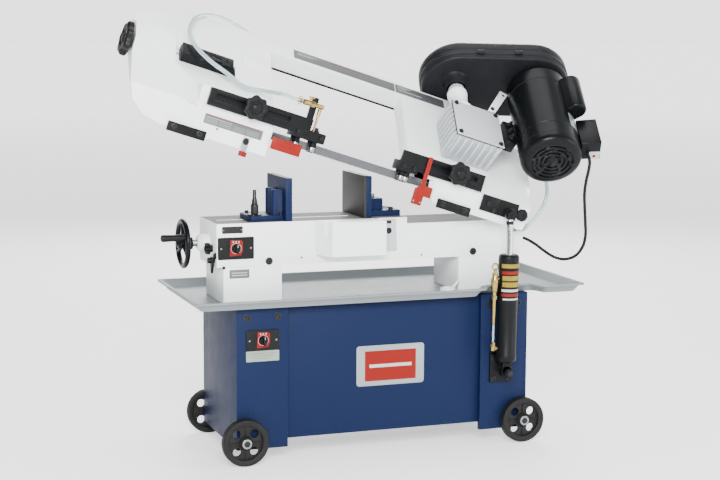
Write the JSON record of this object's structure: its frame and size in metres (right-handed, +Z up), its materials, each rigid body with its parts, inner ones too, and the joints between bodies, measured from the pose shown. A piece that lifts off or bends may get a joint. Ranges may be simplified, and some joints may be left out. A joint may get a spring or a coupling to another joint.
{
  "type": "horizontal band saw",
  "caption": "Horizontal metal-cutting band saw with a tilted saw head, vise bed, chip tray, feed cylinder and wheeled cabinet stand.",
  "frame": {"origin": "on the floor, under the middle of the footprint measured without the hoses and the lead", "axes": "+X along the bed towards the saw head's pivot, +Y away from the operator, +Z up; the head is raised 18 degrees at rest"},
  "size_m": [1.2174, 0.476, 1.0902],
  "materials": {
    "blue_paint": "semi-gloss, faint orange peel",
    "white_paint": "painted, semi-gloss over sand-cast iron",
    "black_paint": "satin",
    "black_plastic": "fine-grained satin",
    "caster_rubber": "matt",
    "belt_rubber": "matt",
    "steel": "ground",
    "cast_iron": "machined",
    "chrome": "polished",
    "brass": "turned, satin",
    "clear_hose": "clear, flexible"
  },
  "bodies": {
    "base": {"bed_casting": "white_paint", "stand_left_cabinet": "blue_paint", "stand_right_cabinet": "blue_paint", "stand_front_panel": "blue_paint", "stand_rear_panel": "blue_paint", "left_axle": "steel", "right_axle": "steel", "coolant_tank": "cast_iron", "chip_tray": "white_paint", "left_pedestal": "white_paint", "right_pedestal": "white_paint", "fixed_jaw": "blue_paint", "fixed_jaw_plate": "steel", "pivot_bracket": "white_paint", "pivot_shaft": "steel", "cylinder_lower_bracket": "black_paint"},
    "saw_head": {"bow_casting": "white_paint", "drive_wheel_cover": "black_paint", "saw_blade": "steel", "gearbox_housing": "white_paint", "gearbox_cover": "white_paint", "belt_guard_base": "black_paint", "v_belt": "belt_rubber", "motor_body": "black_paint", "fan_cowl": "black_plastic", "capacitor_cover": "black_plastic", "motor_terminal_box": "black_plastic", "cylinder_upper_bracket": "black_paint", "upper_hose": "clear_hose", "lower_hose": "clear_hose", "motor_lead": "belt_rubber"},
    "idler_cover": {"idler_wheel_cover": "black_paint"},
    "guard_lid": {"belt_guard_lid": "black_paint"},
    "tension_knob": {"tension_knob": "black_plastic"},
    "tension_slide": {"tension_slide": "black_paint"},
    "idler_wheel": {"idler_wheel": "cast_iron"},
    "drive_wheel": {"drive_wheel": "cast_iron", "drive_shaft": "steel"},
    "worm": {"worm_shaft": "steel"},
    "rotor": {"motor_rotor": "steel"},
    "left_guide": {"left_guide_arm": "black_paint", "coolant_nozzle": "brass"},
    "right_guide": {"right_guide_arm": "black_paint"},
    "left_guide_knob": {"left_guide_knob": "black_plastic"},
    "right_guide_knob": {"right_guide_knob": "black_plastic"},
    "handwheel": {"vise_handwheel": "black_plastic", "vise_screw": "steel"},
    "handwheel_grip": {"handwheel_grip": "black_plastic"},
    "moving_jaw": {"moving_jaw": "blue_paint"},
    "vise_lever": {"vise_lever": "black_paint"},
    "bed_switch": {"bed_switch_knob": "black_plastic"},
    "stand_switch": {"stand_switch_knob": "black_plastic"},
    "feed_cylinder": {"feed_cylinder": "black_paint", "feed_valve_body": "brass"},
    "feed_rod": {"feed_rod": "chrome"},
    "feed_valve": {"feed_valve_knob": "brass"},
    "front_left_wheel": {"front_left_caster": "caster_rubber"},
    "rear_left_wheel": {"rear_left_caster": "caster_rubber"},
    "front_right_wheel": {"front_right_caster": "caster_rubber"},
    "rear_right_wheel": {"rear_right_caster": "caster_rubber"}
  },
  "joints": [
    {"name": "head_pivot", "type": "hinge", "parent": "base", "child": "saw_head", "pos_m": [0.41831, 0.03398, 0.55], "axis": [0, 1, 0], "range_deg": [-18, 27], "deforming": ["lower_hose", "motor_lead"]},
    {"name": "idler_cover_hinge", "type": "hinge", "parent": "saw_head", "child": "idler_cover", "pos_m": [-0.0258, 0.1429, 0.93066], "axis": [0.9511, 0, -0.309], "range_deg": [0, 85]},
    {"name": "guard_lid_hinge", "type": "hinge", "parent": "saw_head", "child": "guard_lid", "pos_m": [0.39374, 0.01535, 0.99572], "axis": [0.9718, -0.2346, -0.0218], "range_deg": [0, 100]},
    {"name": "tension_knob_turn", "type": "hinge", "parent": "saw_head", "child": "tension_knob", "pos_m": [-0.58799, -0.02283, 1.02557], "axis": [0.9511, 0, -0.309], "range_deg": [0, 1441]},
    {"name": "tension_travel", "type": "slide", "parent": "saw_head", "child": "tension_slide", "axis": [0.9511, 0, -0.309], "range_m": [0, 0.008]},
    {"name": "idler_spin", "type": "hinge", "parent": "tension_slide", "child": "idler_wheel", "pos_m": [-0.40488, -0.00612, 0.94514], "axis": [-0.2367, 0.6428, -0.7286], "continuous": true},
    {"name": "drive_spin", "type": "hinge", "parent": "saw_head", "child": "drive_wheel", "pos_m": [0.27037, -0.00612, 0.72573], "axis": [-0.2367, 0.6428, -0.7286], "continuous": true},
    {"name": "worm_spin", "type": "hinge", "parent": "saw_head", "child": "worm", "pos_m": [0.25839, -0.06397, 0.80212], "axis": [0.1986, 0.766, 0.6113], "continuous": true},
    {"name": "rotor_spin", "type": "hinge", "parent": "saw_head", "child": "rotor", "pos_m": [0.46707, -0.10896, 0.7907], "axis": [0.1986, 0.766, 0.6113], "continuous": true},
    {"name": "left_guide_slide", "type": "slide", "parent": "saw_head", "child": "left_guide", "axis": [0.9511, 0, -0.309], "range_m": [0, 0.06], "deforming": ["upper_hose"]},
    {"name": "right_guide_slide", "type": "slide", "parent": "saw_head", "child": "right_guide", "axis": [0.9511, 0, -0.309], "range_m": [0, 0.03]},
    {"name": "left_guide_knob_turn", "type": "hinge", "parent": "saw_head", "child": "left_guide_knob", "pos_m": [-0.31587, -0.17202, 0.86636], "axis": [0, 1, 0], "range_deg": [0, 180]},
    {"name": "right_guide_knob_turn", "type": "hinge", "parent": "saw_head", "child": "right_guide_knob", "pos_m": [0.20436, -0.17202, 0.69732], "axis": [0, 1, 0], "range_deg": [0, 180]},
    {"name": "handwheel_turn", "type": "hinge", "parent": "base", "child": "handwheel", "pos_m": [-0.45069, 0.00098, 0.53], "axis": [1, 0, 0], "range_deg": [-3901, 11221]},
    {"name": "jaw_slide", "type": "slide", "parent": "base", "child": "moving_jaw", "axis": [1, 0, 0], "range_m": [-0.065, 0.187]},
    {"name": "grip_spin", "type": "hinge", "parent": "handwheel", "child": "handwheel_grip", "pos_m": [-0.48769, -0.04952, 0.5505], "axis": [1, 0, 0], "continuous": true},
    {"name": "vise_lever_turn", "type": "hinge", "parent": "base", "child": "vise_lever", "pos_m": [-0.39869, -0.06102, 0.494], "axis": [1, 0, 0], "range_deg": [0, 90]},
    {"name": "bed_switch_turn", "type": "hinge", "parent": "base", "child": "bed_switch", "pos_m": [-0.34069, -0.09102, 0.524], "axis": [0, 1, 0], "range_deg": [0, 90]},
    {"name": "stand_switch_turn", "type": "hinge", "parent": "base", "child": "stand_switch", "pos_m": [-0.28669, -0.13602, 0.304], "axis": [0, 1, 0], "range_deg": [0, 90]},
    {"name": "cylinder_swing", "type": "hinge", "parent": "base", "child": "feed_cylinder", "pos_m": [0.34231, -0.16102, 0.19], "axis": [0, 1, 0], "range_deg": [-4, 4]},
    {"name": "rod_slide", "type": "slide", "parent": "feed_cylinder", "child": "feed_rod", "axis": [0.016, 0, 0.9999], "range_m": [-0.03, 0.04]},
    {"name": "feed_valve_turn", "type": "hinge", "parent": "feed_cylinder", "child": "feed_valve", "pos_m": [0.30947, -0.16102, 0.45056], "axis": [0.016, 0, 0.9999], "range_deg": [0, 90]},
    {"name": "front_left_wheel_spin", "type": "hinge", "parent": "base", "child": "front_left_wheel", "pos_m": [-0.33569, -0.14102, 0.0575], "axis": [0, 1, 0], "continuous": true},
    {"name": "rear_left_wheel_spin", "type": "hinge", "parent": "base", "child": "rear_left_wheel", "pos_m": [-0.33569, 0.20898, 0.0575], "axis": [0, 1, 0], "continuous": true},
    {"name": "front_right_wheel_spin", "type": "hinge", "parent": "base", "child": "front_right_wheel", "pos_m": [0.40031, -0.14102, 0.0575], "axis": [0, 1, 0], "continuous": true},
    {"name": "rear_right_wheel_spin", "type": "hinge", "parent": "base", "child": "rear_right_wheel", "pos_m": [0.40031, 0.20898, 0.0575], "axis": [0, 1, 0], "continuous": true}
  ],
  "couplings": [
    {"joint": "tension_knob_turn", "follows": "tension_travel", "rad_per_m": 3141.6},
    {"joint": "worm_spin", "follows": "rotor_spin", "ratio": 0.61538},
    {"joint": "drive_spin", "follows": "rotor_spin", "ratio": 0.030769},
    {"joint": "idler_spin", "follows": "rotor_spin", "ratio": 0.030769},
    {"joint": "handwheel_turn", "follows": "jaw_slide", "rad_per_m": 1047.2},
    {"joint": "cylinder_swing", "follows": "head_pivot", "ratio": 0.11},
    {"joint": "rod_slide", "follows": "head_pivot", "m_per_rad": 0.0665}
  ]
}
